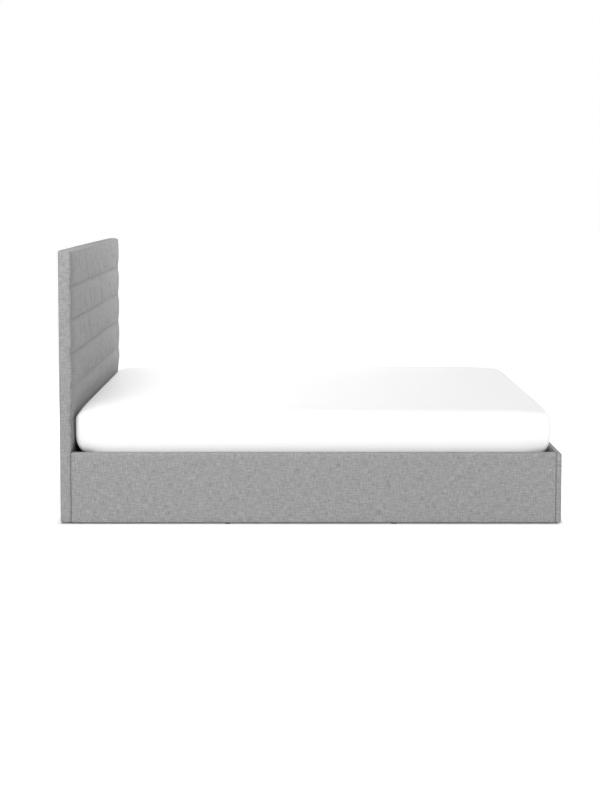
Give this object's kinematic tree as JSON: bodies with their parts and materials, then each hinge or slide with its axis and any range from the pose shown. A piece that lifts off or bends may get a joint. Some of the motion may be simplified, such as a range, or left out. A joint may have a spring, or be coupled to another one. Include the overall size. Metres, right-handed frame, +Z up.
{
  "type": "ottoman storage bed",
  "caption": "Upholstered storage bed with a channelled headboard, low side rails and foot panel, and a mattress on a slatted platform that tilts up from the foot on gas-strut lift hinges.",
  "frame": {"origin": "on the floor under the centre of the bed's footprint", "axes": "+X along the bed from the headboard to the foot panel, +Z up, +Y across to the left of a person lying on it"},
  "size_m": [2.1, 1.6, 1.146],
  "materials": {
    "upholstery": "matte",
    "lining": "matte",
    "mattress_fabric": "matte",
    "foam": "matte",
    "webbing": "matte",
    "softwood": "matte",
    "board": "matte",
    "floor_board": "matte",
    "slat_birch": "satin",
    "black_steel": "satin",
    "frame_steel": "satin",
    "zinc_steel": "satin",
    "bolt_steel": "satin",
    "strut_black": "gloss",
    "strut_rod": "polished",
    "black_plastic": "matte",
    "white_nylon": "satin",
    "rubber": "matte"
  },
  "bodies": {
    "base": {"headboard_frame": "softwood", "headboard_panel": "board", "headboard_cover": "upholstery", "headboard_back_lining": "lining", "side_rail_right_board": "board", "side_rail_left_board": "board", "side_rail_right_cover": "upholstery", "side_rail_left_cover": "upholstery", "foot_panel_board": "board", "foot_panel_cover": "upholstery", "corner_brackets": "zinc_steel", "corner_bolts": "bolt_steel", "tee_nuts": "zinc_steel", "floor_battens": "softwood", "floor_centre_beam": "softwood", "storage_floor_head": "floor_board", "storage_floor_middle": "floor_board", "storage_floor_foot": "floor_board", "glides": "black_plastic", "lift_base_plate_right": "black_steel", "lift_base_plate_left": "black_steel", "lift_base_bolts": "bolt_steel", "lift_base_pins": "bolt_steel", "lift_base_nuts": "zinc_steel", "lift_spacers": "white_nylon", "rest_brackets": "black_steel", "rest_pads": "rubber"},
    "rear_link_right": {"rear_arm_right": "black_steel"},
    "rear_link_left": {"rear_arm_left": "black_steel"},
    "front_link_right": {"front_arm_right": "black_steel", "front_arm_pins_right": "bolt_steel"},
    "front_link_left": {"front_arm_left": "black_steel", "front_arm_pins_left": "bolt_steel"},
    "cylinder_right": {"strut_cylinder_right": "strut_black"},
    "cylinder_left": {"strut_cylinder_left": "strut_black"},
    "rod_right": {"strut_rod_right": "strut_rod"},
    "rod_left": {"strut_rod_left": "strut_rod"},
    "platform": {"lift_top_bracket_right": "black_steel", "lift_top_bracket_left": "black_steel", "top_bracket_bolts": "bolt_steel", "top_pivot_bolts": "bolt_steel", "platform_side_tubes": "frame_steel", "platform_head_tube": "frame_steel", "platform_foot_tube": "frame_steel", "platform_centre_rail": "frame_steel", "platform_cross_tubes": "frame_steel", "tube_end_caps": "black_plastic", "slats_right": "slat_birch", "slats_left": "slat_birch", "slat_end_holders": "black_plastic", "slat_centre_holders": "black_plastic", "mattress_retainers": "frame_steel", "pull_strap": "webbing", "mattress_core": "foam", "mattress_cover": "mattress_fabric"}
  },
  "joints": [
    {"name": "lift_swing", "type": "hinge", "parent": "base", "child": "rear_link_right", "pos_m": [-0.682, -0.7645, 0.06], "axis": [0, 1, 0], "range_deg": [0, 34]},
    {"name": "platform_tilt", "type": "hinge", "parent": "rear_link_right", "child": "platform", "pos_m": [-0.76, -0.7645, 0.238], "axis": [0, 1, 0], "range_deg": [-68.1, 0]},
    {"name": "rear_link_left_swing", "type": "hinge", "parent": "base", "child": "rear_link_left", "pos_m": [-0.682, 0.7645, 0.06], "axis": [0, 1, 0], "range_deg": [0, 34.1]},
    {"name": "front_link_right_swing", "type": "hinge", "parent": "base", "child": "front_link_right", "pos_m": [-0.281, -0.7645, 0.065], "axis": [0, 1, 0], "range_deg": [0, 25.5]},
    {"name": "strut_right_swing", "type": "hinge", "parent": "base", "child": "cylinder_right", "pos_m": [-0.585, -0.746, 0.055], "axis": [0, 1, 0], "range_deg": [0, 6.3]},
    {"name": "strut_right_extend", "type": "slide", "parent": "cylinder_right", "child": "rod_right", "axis": [0.6172, 0, 0.7868], "range_m": [0, 0.1]},
    {"name": "front_link_left_swing", "type": "hinge", "parent": "base", "child": "front_link_left", "pos_m": [-0.281, 0.7645, 0.065], "axis": [0, 1, 0], "range_deg": [0, 25.5]},
    {"name": "strut_left_swing", "type": "hinge", "parent": "base", "child": "cylinder_left", "pos_m": [-0.585, 0.746, 0.055], "axis": [0, 1, 0], "range_deg": [0, 6.3]},
    {"name": "strut_left_extend", "type": "slide", "parent": "cylinder_left", "child": "rod_left", "axis": [0.6172, 0, 0.7868], "range_m": [0, 0.1]}
  ],
  "couplings": [
    {"joint": "platform_tilt", "follows": "lift_swing", "ratio": -2},
    {"joint": "rear_link_left_swing", "follows": "lift_swing", "ratio": 1},
    {"joint": "front_link_right_swing", "follows": "lift_swing", "ratio": 0.747},
    {"joint": "strut_right_swing", "follows": "lift_swing", "ratio": 0.1821},
    {"joint": "strut_right_extend", "follows": "lift_swing", "m_per_rad": 0.16803},
    {"joint": "front_link_left_swing", "follows": "lift_swing", "ratio": 0.747},
    {"joint": "strut_left_swing", "follows": "lift_swing", "ratio": 0.1821},
    {"joint": "strut_left_extend", "follows": "lift_swing", "m_per_rad": 0.16803}
  ]
}
